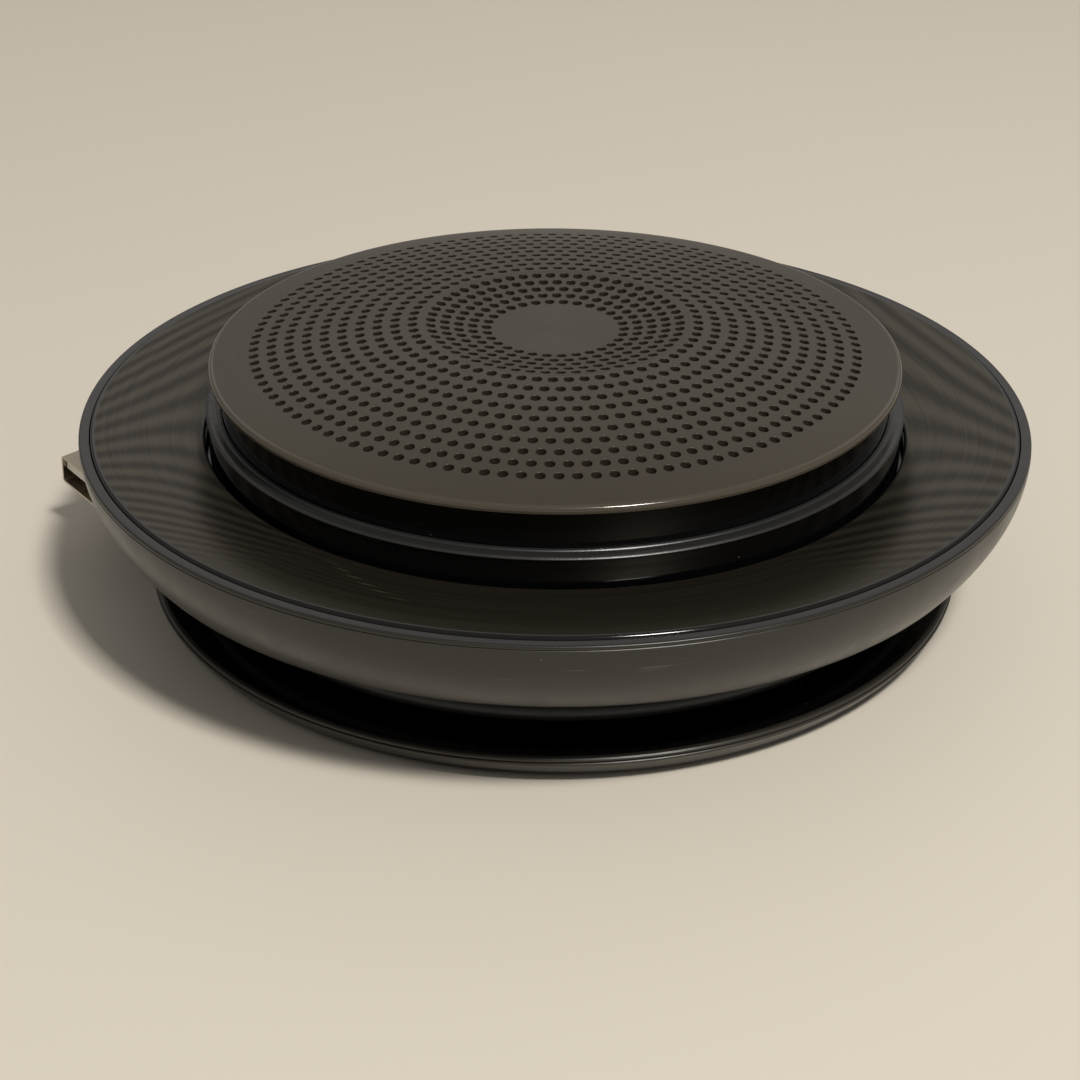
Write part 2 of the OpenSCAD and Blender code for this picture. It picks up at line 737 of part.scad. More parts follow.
// The four wires from the cord's end up to their socket on the board.
module cord_leads() {
  color([0.75, 0.75, 0.72]) rotate(entry_az) for (k = [0:3]) {
    o = k - 1.5;
    up = entry_z + (k % 2 == 0 ? 0.45 : -0.45);
    sweep([[hub_in - 3.75 - 0.36 * o, -3.4 + 0.48 * o, up],
      [hub_in - 5.1 - 0.3 * o, -4.9 + 0.8 * o, up + 1],
      [hub_in - 5.5, -5.6 + 0.9 * o, up + 3.2], [hub_in - 4.3, -6.2 + o, board_top - 0.8],
      [hub_in - 1.2, -6.8 + 1.1 * o, board_top + 0.5], [board_in + 0.3, -7.2 + 1.2 * o, board_top + 0.55]],
      0.27, [0, 1, 0]);
  }
}

// Places its children on the plug: +X towards the mouth, Z the plug's up.
module on_plug() {
  translate(tail(mouth_s)) rotate(plug_az + 180) rotate([0, plug_pitch, 0])
    rotate([-plug_roll, 0, 0]) children();
}

module plug_boot() {
  color([0.06, 0.06, 0.06]) on_plug() difference() {
    translate([-plug_len - grip_len, 0, 0]) rotate([0, -90, 0])
      cylinder(h = boot_len, r1 = 2.5, r2 = cord_r + 0.5, $fn = 32);
    translate([-plug_len - grip_len + 1, 0, 0]) rotate([0, -90, 0])
      cylinder(h = boot_len + 3, r = cord_r + 0.02, $fn = 32);
  }
}

module plug_overmold() {
  color([0.06, 0.06, 0.065]) on_plug() difference() {
    bar(-plug_len - grip_len, -plug_len, 13.4, 5.3, 1.5);
    bar(-plug_len - 6, -plug_len + 1, plug_w, plug_h, 0.5);
  }
}

module plug_shell() {
  t = 0.3;
  color([0.7, 0.69, 0.67]) on_plug() difference() {
    bar(-plug_len - 6, 0, plug_w, plug_h, 0.5);
    bar(-plug_len - 5, 1, plug_w - 2 * t, plug_h - 2 * t, 0.25);
    for (y = [-2.9, 2.9]) translate([-7.5, y - 1.15, plug_h / 2 - 1]) cube([2.3, 2.3, 2]);
    for (y = [-2.9, 2.9]) translate([-7.5, y - 1.15, -plug_h / 2 - 1]) cube([2.3, 2.3, 2]);
  }
}

module plug_tongue() {
  color([0.93, 0.93, 0.92]) on_plug()
    translate([-plug_len - 5, -plug_w / 2 + 0.45, plug_h / 2 - 0.3 - 1.9])
      cube([plug_len + 4.4, plug_w - 0.9, 1.88]);
}

module plug_contacts() {
  color([0.85, 0.68, 0.3]) on_plug() for (k = [-1.5:1:1.5])
    translate([-9, k * 2.3 - 0.5, plug_h / 2 - 0.3 - 1.9 - 0.12]) cube([7.6, 1, 0.12]);
}

// ---- Fixings ----

module shell_screws() {
  color([0.5, 0.5, 0.52]) around(clamp_n, clamp_r, 45)
    translate([0, 0, hub_under - 0.9]) screw(2.2, 0.9, 0.95, 8.6, 1.4);
}

module base_screws() {
  color([0.5, 0.5, 0.52]) around(4, base_screw_r, 45)
    translate([0, 0, 1.4]) screw(2.3, 1.2, 0.95, 5.4, 1.4);
}

// ---- Base and stand ----

foot_t = base_z + 0.6;
foot_out = base_r - foot_inset;
foot_in = foot_out - foot_w;
knuckle_r = 1.5;
pocket_gap = 0.6;
pocket_top = base_top - 0.2;
pad_in = stand_in + 3;
pad_out = stand_out - 3;

module base_disc() {
  color([0.06, 0.06, 0.065]) difference() {
    spin([
      [0, base_z], [base_r - 1.9, base_z], [base_r - 1.55, base_z + 0.2],
      [base_r, base_top - 0.9], [base_r, base_top - 0.68], [base_r - 0.1, base_top - 0.6],
      [base_r - 0.3, base_top - 0.6], [base_r - 0.3, base_top - 0.48],
      [base_r - 0.17, base_top - 0.42], [base_r - 0.2, base_top - 0.2],
      [base_r - 0.38, base_top - 0.05], [base_r - 0.65, base_top],
      [hub_in - 0.1, base_top], [hub_in - 0.1, boss_top], [0, boss_top]
    ]);
    ring(foot_out + 0.05, foot_in - 0.05, base_z - 1, foot_t - base_z + 1);
    translate([0, 0, base_z - 1]) cylinder(h = foot_t - base_z + 1, r = pad_r + 0.05);
    intersection() {
      ring(stand_out + pocket_gap, stand_in - pocket_gap, base_z - 1, pocket_top - base_z + 1);
      translate([-base_r, 0, base_z - 2]) cube([2 * base_r, base_r, 10]);
    }
    for (s = [-1, 1])
      translate([s * (stand_in + stand_out) / 2, -0.1, (boss_top - 1.2 + base_z - 1) / 2])
        cube([stand_out - stand_in + 2 * pocket_gap, 5.2, boss_top - 1.2 - base_z + 1], center = true);
    translate([-6, stand_out - 1, base_z - 1]) cube([12, 5, base_top - 1.3 - base_z + 1]);
    for (s = [0, 180]) rotate(s) translate([stand_in - 3, 0, stand_axis]) rotate([0, 90, 0])
      cylinder(h = stand_out - stand_in + 6, r = pin_r, $fn = 24);
    around(4, base_screw_r, 45) {
      cylinder(h = 8, r = 1.2, $fn = 24);
      cylinder(h = 2.6, r = 2.5, $fn = 32);
    }
  }
}

module foot_ring() {
  color([0.12, 0.12, 0.12]) ring(foot_out, foot_in, 0, foot_t);
}

module centre_pad() {
  color([0.12, 0.12, 0.12]) cylinder(h = foot_t, r = pad_r);
}

module kickstand() {
  bottom = stand_axis - knuckle_r;
  color([0.08, 0.08, 0.085]) difference() {
    union() {
      intersection() {
        ring(stand_out, stand_in, bottom, stand_t);
        translate([-base_r, 0, 0]) cube([2 * base_r, base_r, 10]);
      }
      for (s = [0, 180]) rotate(s) translate([stand_in, 0, stand_axis]) rotate([0, 90, 0])
        cylinder(h = stand_out - stand_in, r = knuckle_r, $fn = 48);
    }
    for (s = [0, 180]) rotate(s) translate([stand_in - 1, 0, stand_axis]) rotate([0, 90, 0])
      cylinder(h = stand_out - stand_in + 2, r = pin_r + pin_fit, $fn = 24);
    translate([0, 0, bottom - 1]) linear_extrude(1.2) arc_band(pad_in - 0.1, pad_out + 0.1, 59, 121);
  }
}

// A flat band of an annulus between two azimuths.
module arc_band(r0, r1, a0, a1) {
  intersection() {
    difference() {
      circle(r = r1, $fn = 120);
      circle(r = r0, $fn = 120);
    }
    polygon([[0, 0], for (k = [0:4])
      let (a = a0 + (a1 - a0) * k / 4) r1 * 1.1 * [cos(a), sin(a)]]);
  }
}

module stand_pad() {
  color([0.12, 0.12, 0.12]) translate([0, 0, stand_axis - knuckle_r - 0.4])
    linear_extrude(0.6) arc_band(pad_in, pad_out, 60, 120);
}

module hinge_pins() {
  color([0.7, 0.7, 0.72]) for (s = [0, 180]) rotate(s)
    translate([stand_in - 3, 0, stand_axis]) rotate([0, 90, 0])
      cylinder(h = stand_out - stand_in + 6, r = pin_r, $fn = 24);
}

speaker_grille();
grille_cloth();
chassis();
trim_ring();
touch_ring();
touch_film();
light_guide();
led_board();
status_leds();
microphones();
mic_boots();
driver_frame();
driver_gasket();
driver_top_plate();
driver_magnet();
driver_yoke();
voice_coil();
spider();
cone();
dust_cap();
surround();
driver_screws();
driver_terminals();
speaker_leads();
lower_shell();
main_board();
board_chips();
shield_can();
board_sockets();
board_screws();
battery();
battery_pad();
battery_leads();
flex_ribbon();
cable_spool();
cord_grommet();
usb_cord();
cord_leads();
plug_boot();
plug_overmold();
plug_shell();
plug_tongue();
plug_contacts();
shell_screws();
base_disc();
base_screws();
foot_ring();
centre_pad();
kickstand();
stand_pad();
hinge_pins();
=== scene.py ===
"""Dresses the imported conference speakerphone: visible shells as fine revolved
meshes, the perforated grille, the wound cord and the materials."""

import json
import math

import bpy
import numpy as np
from mathutils import Matrix, Vector


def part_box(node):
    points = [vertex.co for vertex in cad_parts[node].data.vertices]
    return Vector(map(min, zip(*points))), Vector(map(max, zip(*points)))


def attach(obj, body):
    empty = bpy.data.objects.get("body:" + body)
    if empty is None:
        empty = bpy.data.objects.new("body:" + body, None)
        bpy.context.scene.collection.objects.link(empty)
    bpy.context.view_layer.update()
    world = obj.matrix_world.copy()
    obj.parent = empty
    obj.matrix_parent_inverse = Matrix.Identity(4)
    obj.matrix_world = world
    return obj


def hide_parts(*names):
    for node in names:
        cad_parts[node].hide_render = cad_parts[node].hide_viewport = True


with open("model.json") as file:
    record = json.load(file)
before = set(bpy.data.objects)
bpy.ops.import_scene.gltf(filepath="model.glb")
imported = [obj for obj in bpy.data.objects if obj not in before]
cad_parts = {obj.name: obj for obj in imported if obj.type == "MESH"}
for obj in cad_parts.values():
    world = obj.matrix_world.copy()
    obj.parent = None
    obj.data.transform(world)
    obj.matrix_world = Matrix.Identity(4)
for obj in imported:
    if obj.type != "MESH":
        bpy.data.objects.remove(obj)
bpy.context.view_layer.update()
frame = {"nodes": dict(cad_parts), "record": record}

MM = 0.001
UNIT = "unit"

# Driving values of part.scad that the visual pieces need again, in millimetres
WALL = 1.8
RING_FALL = 2.5
RING_T = 1.2
SHEET = 0.8
DOME_R = 229.0
DISH_R = 107.0
CREST_R = 18.7
DISC_R = 8.6
TURN_IN = 4.2
PLUG_GAP = 6.8
COIL_W = 9.7

# From the edge of a node's box to the form that the scene needs: the rim's flat over
# the bowl's widest line, the turn over the bowl's bottom, the deck under the widest
# line, the drum's flange past the drum, and the gap from the ledge to the ring
RIM_RISE = 0.4
TURN_RISE = 1.7
DECK_DROP = 5.6
DRUM_LAP = 1.9
LEDGE_TO_RING = 0.3


def top_of(node):
    """Height of a node's highest point, in millimetres."""
    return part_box(node)[1][2] / MM


def foot_of(node):
    """Height of a node's lowest point, in millimetres."""
    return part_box(node)[0][2] / MM


def reach_of(node):
    """How far a round node reaches from the axis, in millimetres."""
    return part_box(node)[1][0] / MM


# Radii that pieces and materials share, worked out from the frame's boxes
GRILLE_R = reach_of("speaker_grille")
RING_OUT = reach_of("touch_ring")
RING_IN = reach_of("trim_ring") + LEDGE_TO_RING
BASE_R = reach_of("base_disc")
DRUM_R = reach_of("cable_spool") - DRUM_LAP
RIM_TOP = top_of("lower_shell")
RIM_Z = RIM_TOP - RIM_RISE


# ---- Camera ----

CAMERA_PLACE = (0.00368, -0.2772, 0.1542)
CAMERA_YAW = -1.17
CAMERA_PITCH = 28.58
CAMERA_ROLL = 0.30
CAMERA_LENS = 71.6


def add_camera():
    """A phone's tele lens, in front of the unit and looking down on it."""
    yaw, pitch, roll = (math.radians(a) for a in (CAMERA_YAW, CAMERA_PITCH, CAMERA_ROLL))
    ahead = Vector((math.sin(yaw) * math.cos(pitch), math.cos(yaw) * math.cos(pitch), -math.sin(pitch)))
    right = Vector((math.cos(yaw), -math.sin(yaw), 0))
    up = right.cross(ahead)
    turned_right = math.cos(roll) * right + math.sin(roll) * up
    turned_up = -math.sin(roll) * right + math.cos(roll) * up
    data = bpy.data.cameras.new("camera")
    data.sensor_width = 36
    data.lens = CAMERA_LENS
    data.clip_start = 0.01
    camera = bpy.data.objects.new("camera", data)
    camera.matrix_world = Matrix.Translation(CAMERA_PLACE) @ Matrix(
        (turned_right, turned_up, -ahead)).transposed().to_4x4()
    bpy.context.scene.collection.objects.link(camera)
    bpy.context.scene.camera = camera


# ---- Node materials ----

class Paint:
    """A material's node tree, with short calls for the nodes used below."""

    def __init__(self, name, color, rough=0.5, metallic=0.0, **sockets):
        self.material = bpy.data.materials.new(name)
        self.material.use_nodes = True
        self.tree = self.material.node_tree
        self.shader = self.tree.nodes["Principled BSDF"]
        self.set(self.shader, "Base Color", (*color, 1))
        self.set(self.shader, "Roughness", rough)
        self.set(self.shader, "Metallic", metallic)
        for socket, value in sockets.items():
            self.set(self.shader, socket.replace("_", " "), value)
        self.color = color
        self.heights = []

    def set(self, node, socket, value):
        node.inputs[socket].default_value = value

    def node(self, kind, **values):
        made = self.tree.nodes.new(kind)
        for name, value in values.items():
            setattr(made, name, value)
        return made

    def link(self, source, target):
        self.tree.links.new(source, target)

    def math(self, operation, *values):
        """A math node on numbers and sockets."""
        made = self.node("ShaderNodeMath", operation=operation)
        for socket, value in zip(made.inputs, values):
            if isinstance(value, (int, float)):
                socket.default_value = value
            else:
                self.link(value, socket)
        return made.outputs[0]

    def place(self):
        """The surface point in millimetres, in the unit's own frame."""
        coords = self.node("ShaderNodeTexCoord")
        scaled = self.node("ShaderNodeVectorMath", operation="SCALE")
        self.link(coords.outputs["Object"], scaled.inputs[0])
        self.set(scaled, "Scale", 1 / MM)
        return scaled.outputs[0]

    def split(self, vector):
        made = self.node("ShaderNodeSeparateXYZ")
        self.link(vector, made.inputs[0])
        return made.outputs

    def polar(self):
        """Radius and azimuth round the unit's axis."""
        x, y, _ = self.split(self.place())
        squares = self.math("ADD", self.math("MULTIPLY", x, x), self.math("MULTIPLY", y, y))
        return self.math("SQRT", squares), self.math("ARCTAN2", y, x)

    def noise(self, vector, scale, detail=3.0, rough=0.55):
        """Cloudy noise, with the scale in turns per millimetre."""
        made = self.node("ShaderNodeTexNoise")
        self.set(made, "Scale", scale)
        self.set(made, "Detail", detail)
        self.set(made, "Roughness", rough)
        self.link(vector, made.inputs["Vector"])
        return made.outputs[0]

    def turned(self, across, along):
        """Noise drawn out round the axis, as a lathe or a brush leaves it."""
        radius, azimuth = self.polar()
        joined = self.node("ShaderNodeCombineXYZ")
        self.link(self.math("MULTIPLY", radius, across), joined.inputs[0])
        self.link(self.math("MULTIPLY", self.math("COSINE", azimuth), along), joined.inputs[1])
        self.link(self.math("MULTIPLY", self.math("SINE", azimuth), along), joined.inputs[2])
        return self.noise(joined.outputs[0], 1.0, 4.0)

    def band(self, value, low, high, first=0.0, last=1.0):
        """A smooth step from first to last as the value goes from low to high."""
        made = self.node("ShaderNodeMapRange")
        made.interpolation_type = "SMOOTHSTEP"
        for socket, number in zip(made.inputs[1:5], (low, high, first, last)):
            socket.default_value = number
        self.link(value, made.inputs[0])
        return made.outputs[0]

    def mix(self, factor, below, above):
        """Base colour that goes from below to above as the factor goes from 0 to 1."""
        made = self.node("ShaderNodeMix", data_type="RGBA")
        self.link(factor, made.inputs[0])
        for socket, color in zip(made.inputs[6:8], (below, above)):
            if isinstance(color, tuple):
                socket.default_value = (*color, 1)
            else:
                self.link(color, socket)
        self.link(made.outputs[2], self.shader.inputs["Base Color"])
        return made.outputs[2]

    def tint(self, factor, dark, light):
        """The material's own colour, from dark to light as the factor goes from 0 to 1."""
        low, high = (tuple(min(1, c * shade) for c in self.color) for shade in (dark, light))
        return self.mix(factor, low, high)

    def roughen(self, factor, low, high):
        """Roughness from low to high over the middle of a noise's range."""
        self.link(self.band(factor, 0.3, 0.7, low, high), self.shader.inputs["Roughness"])

    def bump(self, height, depth):
        """Relief of the given depth in millimetres, on top of what is there."""
        made = self.node("ShaderNodeBump")
        self.set(made, "Strength", 1.0)
        self.set(made, "Distance", depth * MM)
        self.link(height, made.inputs["Height"])
        if self.heights:
            self.link(self.heights[-1], made.inputs["Normal"])
        self.heights.append(made.outputs[0])
        self.link(made.outputs[0], self.shader.inputs["Normal"])

    def specks(self, density, size):
        """1 on small scattered specks, such as dust, and 0 elsewhere."""
        cells = self.node("ShaderNodeTexVoronoi")
        self.set(cells, "Scale", density)
        self.link(self.place(), cells.inputs["Vector"])
        dot = self.band(cells.outputs["Distance"], size * 0.6, size, 1, 0)
        chosen = self.node("ShaderNodeSeparateColor")
        self.link(cells.outputs["Color"], chosen.inputs[0])
        return self.math("MULTIPLY", dot, self.math("GREATER_THAN", chosen.outputs[0], 0.72))


def moulded(name, color, rough, grain=0.012, scale=2.6, wear=0.12):
    """Moulded plastic: faint cloudiness, a fine grain and uneven gloss."""
    paint = Paint(name, color, rough)
    place = paint.place()
    cloud = paint.noise(place, 0.05, 4)
    paint.tint(cloud, 1 - wear, 1 + wear)
    paint.roughen(paint.noise(place, 0.22, 4), rough * 0.88, rough * 1.14)
    paint.bump(paint.noise(place, scale, 2), grain)
    return paint


def grille_metal():
    """Turned, anodised sheet: fine rings of brushing, and a glossier rolled edge."""
    paint = Paint("grille_metal", (0.078, 0.066, 0.049), 0.36, 0.55, Anisotropic=0.35)
    brushing = paint.turned(9.0, 3.0)
    paint.tint(brushing, 0.86, 1.16)
    radius, _ = paint.polar()
    satin = paint.band(brushing, 0.3, 0.7, 0.30, 0.42)
    edge = (GRILLE_R - 0.8, GRILLE_R - 0.5)
    paint.link(paint.math("MULTIPLY", satin, paint.band(radius, *edge, 1, 0.38)),
               paint.shader.inputs["Roughness"])
    paint.link(paint.band(radius, *edge, 0.55, 0.15), paint.shader.inputs["Metallic"])
    paint.bump(paint.noise(paint.place(), 7.0, 2), 0.004)
    return paint.material


# The short bright strokes, painted glints: the radii where their row starts and ends, its azimuth at the
# start in radians, its lean in radians per millimetre, and their distance
STREAK_IN = RING_IN + 2.7
STREAK_OUT = RING_IN + 8.2
STREAK_AZ = -2.112
STREAK_LEAN = 0.0405
STROKE_PITCH = 1.122
GLINT_COLOR = (0.30, 0.28, 0.20)


def painted_glints(paint, radius, azimuth):
    """A slanting row of short bright strokes, painted glints where the turned lines catch the light."""
    along = paint.math("MULTIPLY_ADD", paint.math("SUBTRACT", radius, STREAK_IN), -STREAK_LEAN, -STREAK_AZ)
    off = paint.math("ABSOLUTE", paint.math("ADD", azimuth, along))
    near = paint.band(off, 0.004, 0.03, 1, 0)
    inner = paint.band(radius, STREAK_IN - 0.4, STREAK_IN + 0.2)
    outer = paint.band(radius, STREAK_OUT - 1, STREAK_OUT + 1, 1, 0)
    wave = paint.math("SINE", paint.math("MULTIPLY", radius, 2 * math.pi / STROKE_PITCH))
    stroke = paint.band(wave, 0.55, 0.95)
    row = paint.math("MULTIPLY", paint.math("MULTIPLY", near, inner), paint.math("MULTIPLY", outer, stroke))
    return paint.math("MULTIPLY", row, 0.55)


# The painted fringes of the grooves' sheen at either side: the radius where they stand still, how fast their
# number grows with the distance from the ring's side and with the depth, their lean and bend
# over the ring's width about FRINGE_R, and the number that they start from
FRINGE_R = 58.0
FRINGES_RIGHT = (35.0, 0.01077, 0.00444, -0.1765, -0.00885, 0.08)
FRINGES_LEFT = (40.1, 0.01234, 0.00785, -0.2350, -0.01085, 0.33)


def ring_face():
    """The touch ring: turned grooves whose sheen is painted as wavy fringes at both sides, and black edges.
    """
    paint = Paint("ring_face", (0.056, 0.047, 0.033), 0.3)
    x, y, _ = paint.split(paint.place())
    radius, azimuth = paint.polar()
    sag = paint.math("SUBTRACT", radius, paint.math("ABSOLUTE", x))

    def order(centre, sag_rate, depth_rate, lean, bend, start):
        """Number of the fringe: whole numbers are dark."""
        depth = paint.math("MULTIPLY", y, -depth_rate)
        across = paint.math("ADD", paint.math("MULTIPLY", sag, sag_rate), depth)
        shear = paint.math("MULTIPLY", across, paint.math("SUBTRACT", radius, centre))
        out = paint.math("SUBTRACT", radius, FRINGE_R)
        drift = paint.math("MULTIPLY", out, paint.math("ADD", paint.math("MULTIPLY", out, bend), lean))
        return paint.math("ADD", paint.math("ADD", shear, drift), start)

    right = order(*FRINGES_RIGHT)
    left = order(*FRINGES_LEFT)
    on_right = paint.math("GREATER_THAN", x, 0.0)
    count = paint.math("ADD", paint.math("MULTIPLY", right, on_right),
                       paint.math("MULTIPLY", left, paint.math("SUBTRACT", 1.0, on_right)))
    # Painted sheen: the grooves' shimmer as bright and dark fringes in the base colour, with the turned lines
    # on top
    wave = paint.math("COSINE", paint.math("MULTIPLY", count, 2 * math.pi))
    fade = paint.band(sag, 12.0, 26.0, 1, 0)
    painted_fringe = paint.math("MULTIPLY_ADD", paint.math("MULTIPLY", wave, fade), -0.5, 0.5)
    lines = paint.turned(4.0, 1.2)
    sheen_and_lines = paint.math("ADD", painted_fringe, paint.math("MULTIPLY", paint.band(lines, 0.3, 0.7, -0.5, 0.5), 0.5))
    below = paint.tint(sheen_and_lines, 0.5, 1.55)
    # Painted highlight: glints of the turned lines, mixed over the base colour
    below = paint.mix(painted_glints(paint, radius, azimuth), below, GLINT_COLOR)
    inner_edge = paint.band(radius, RING_IN + 0.4, RING_IN + 0.6, 1, 0)
    outer_edge = paint.band(radius, RING_OUT - 0.76, RING_OUT - 0.56)
    edges = paint.math("ADD", inner_edge, outer_edge)
    paint.mix(edges, below, (0.006, 0.006, 0.006))
    paint.link(paint.band(edges, 0, 1, 0.3, 0.10), paint.shader.inputs["Roughness"])
    paint.link(paint.band(edges, 0, 1, 0.78, 0), paint.shader.inputs["Metallic"])
    paint.bump(lines, 0.004)
    return paint.material


def bowl_satin():
    """Satin lacquer with light handling scratches and a few specks, and painted shade that darkens the rim's
    flat.
    """
    paint = moulded("bowl_satin", (0.022, 0.020, 0.016), 0.31, 0.005, 3.0)
    under = paint.shader.inputs["Base Color"].links[0].from_socket
    _, _, z = paint.split(paint.place())
    _, azimuth = paint.polar()
    joined = paint.node("ShaderNodeCombineXYZ")
    paint.link(paint.math("MULTIPLY", z, 2.2), joined.inputs[0])
    paint.link(paint.math("MULTIPLY", azimuth, 1.7), joined.inputs[1])
    line = paint.band(paint.noise(joined.outputs[0], 1.0, 2), 0.655, 0.68)
    broken = paint.band(paint.noise(paint.place(), 0.09, 2), 0.54, 0.6)
    below_rim = paint.band(z, RIM_TOP - 1.2, RIM_TOP - 0.8, 1, 0)
    side = paint.math("MULTIPLY", paint.band(z, RIM_TOP - 9, RIM_TOP - 8), below_rim)
    scratches = paint.math("MULTIPLY", paint.math("MULTIPLY", line, broken), side)
    marks = paint.math("ADD", scratches, paint.specks(0.25, 0.05))
    worn = paint.mix(paint.math("MULTIPLY", marks, 0.22), under, (0.25, 0.23, 0.2))
    # Painted shade: the rim's flat is made darker, for the dark surroundings that its gloss mirrors
    flat = paint.band(z, RIM_TOP - 0.04, RIM_TOP - 0.01)
    paint.mix(flat, worn, (0.008, 0.007, 0.006))
    roughness = paint.shader.inputs["Roughness"]
    gloss = roughness.links[0].from_socket
    paint.link(paint.math("MULTIPLY", gloss, paint.band(flat, 0, 1, 1, 0.6)), roughness)
    return paint.material


def gloss_black():
    """Polished black plastic with a little dust, satin at the base disc's edge, where a lighter brown is
    painted highlight and floor reflection.
    """
    paint = Paint("gloss_black", (0.0025, 0.0025, 0.0027), 0.07, Specular_IOR_Level=0.38)
    tint = paint.tint(paint.noise(paint.place(), 0.08), 0.85, 1.15)
    dust = paint.math("MULTIPLY", paint.specks(0.42, 0.05), 0.35)
    dusty = paint.mix(dust, tint, (0.4, 0.38, 0.34))
    radius, _ = paint.polar()
    # The satin edge is real; its lighter brown colour is painted highlight on the bead and painted reflection
    # of the floor
    edge = paint.band(radius, BASE_R - 1.1, BASE_R - 0.8)
    paint.mix(edge, dusty, (0.036, 0.032, 0.026))
    gloss = paint.band(paint.noise(paint.place(), 0.3, 4), 0.3, 0.7, 0.05, 0.10)
    satin = paint.math("MULTIPLY", edge, 0.24)
    paint.link(paint.math("ADD", gloss, satin), paint.shader.inputs["Roughness"])
    return paint.material


def plug_metal():
    """Plated sheet steel, drawn lengthwise."""
    paint = Paint("plug_metal", (0.47, 0.42, 0.34), 0.3, 1.0)
    drawn = paint.noise(paint.place(), 0.9, 3)
    paint.tint(drawn, 0.92, 1.08)
    paint.roughen(drawn, 0.26, 0.34)
    return paint.material


def brushed(name, color, rough):
    """Plated or turned metal."""
    paint = Paint(name, color, rough, 1.0)
    grain = paint.turned(5.0, 2.0)
    paint.tint(grain, 0.82, 1.12)
    paint.roughen(grain, rough * 0.8, rough * 1.25)
    return paint.material


def woven(name, color, pitch):
    """Cloth with a plain weave of the given pitch in millimetres."""
    paint = Paint(name, color, 0.85)
    x, y, _ = paint.split(paint.place())
    turn = 2 * math.pi / pitch
    warp = paint.math("SINE", paint.math("MULTIPLY", x, turn))
    weft = paint.math("SINE", paint.math("MULTIPLY", y, turn))
    weave = paint.math("MULTIPLY", warp, weft)
    paint.tint(paint.band(weave, -1, 1), 0.6, 1.3)
    paint.bump(weave, pitch * 0.2)
    return paint.material


def circuit_board():
    """Green solder mask with paler copper tracks under it."""
    paint = Paint("circuit_board", (0.02, 0.16, 0.07), 0.3)
    tracks = paint.node("ShaderNodeTexBrick")
    paint.set(tracks, "Scale", 0.32)
    paint.set(tracks, "Mortar Size", 0.03)
    paint.link(paint.place(), tracks.inputs["Vector"])
    below = paint.tint(paint.noise(paint.place(), 0.1), 0.85, 1.2)
    paint.mix(paint.math("MULTIPLY", tracks.outputs["Fac"], 0.6), below, (0.10, 0.34, 0.16))
    return paint.material


def coil_wire():
    """Enamelled wire, wound close."""
    paint = Paint("copper", (0.62, 0.27, 0.10), 0.3, 0.9)
    _, _, z = paint.split(paint.place())
    turns = paint.math("SINE", paint.math("MULTIPLY", z, 2 * math.pi / 0.22))
    paint.tint(paint.band(turns, -1, 1), 0.6, 1.2)
    paint.bump(turns, 0.05)
    return paint.material


def pulp(name, color):
    """Pressed paper pulp, with fibres."""
    paint = Paint(name, color, 0.8)
    fibres = paint.noise(paint.place(), 1.3, 6, 0.7)
    paint.tint(fibres, 0.7, 1.4)
    paint.bump(fibres, 0.05)
    return paint.material


def foil(name, color):
    """A pouch cell's foil, slightly wrinkled."""
    paint = Paint(name, color, 0.3, 0.9)
    creases = paint.noise(paint.place(), 0.3, 4)
    paint.tint(creases, 0.85, 1.08)
    paint.bump(creases, 0.25)
    return paint.material


# Moulded plastics and the like: colour, roughness, depth and scale of the grain, wear
MOULDED = {
    "satin_black": ((0.020, 0.020, 0.020), 0.30),
    "film": ((0.36, 0.18, 0.03), 0.2, 0.0),
    "light_guide": ((0.78, 0.78, 0.76), 0.45),
    "led_white": ((0.85, 0.83, 0.74), 0.35),
    "rubber": ((0.022, 0.022, 0.022), 0.72, 0.03, 1.6, 0.2),
    "driver_steel": ((0.025, 0.025, 0.028), 0.4, 0.02, 2.0),
    "magnet": ((0.035, 0.035, 0.038), 0.6, 0.05, 1.2, 0.3),
    "lead_red": ((0.36, 0.012, 0.008), 0.5),
    "lead_grey": ((0.36, 0.36, 0.34), 0.5),
    "chip_black": ((0.012, 0.012, 0.013), 0.5, 0.01, 3.0),
    "socket_white": ((0.76, 0.74, 0.68), 0.45),
    "hub_black": ((0.008, 0.008, 0.0085), 0.4),
    "cord_jacket": ((0.010, 0.010, 0.010), 0.42, 0.006, 2.0),
}

# Plated and turned metals: colour and roughness
BRUSHED = {
    "steel": ((0.52, 0.52, 0.54), 0.32),
    "screw_steel": ((0.30, 0.30, 0.32), 0.38),
    "brass": ((0.68, 0.44, 0.14), 0.28),
}


def make_materials():
    """One finished material for every slot of the record."""
    made = {
        "grille_metal": grille_metal(),
        "cloth": woven("cloth", (0.008, 0.008, 0.008), 0.35),
        "gloss_black": gloss_black(),
        "ring_face": ring_face(),
        "circuit_board": circuit_board(),
        "copper": coil_wire(),
        "spider_cloth": woven("spider_cloth", (0.44, 0.30, 0.08), 0.5),
        "cone_paper": pulp("cone_paper", (0.012, 0.012, 0.012)),
        "bowl_satin": bowl_satin(),
        "cell_foil": foil("cell_foil", (0.36, 0.37, 0.40)),
        "plug_metal": plug_metal(),
    }
    made.update({name: moulded(name, *values).material for name, values in MOULDED.items()})
    made.update({name: brushed(name, *values) for name, values in BRUSHED.items()})
    return made


MATERIALS = make_materials()
SLOTS = {part["node"]: part["material_slot"] for part in frame["record"]["subparts"]}


# ---- Mesh helpers ----

def add_piece(name, mesh, node):
    """Puts a mesh in the scene in place of a CAD node, on that node's body."""
    piece = bpy.data.objects.new(name, mesh)
    bpy.context.scene.collection.objects.link(piece)
    mesh.materials.append(MATERIALS[SLOTS[node]])
    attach(piece, UNIT)
    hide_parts(node)
    return piece


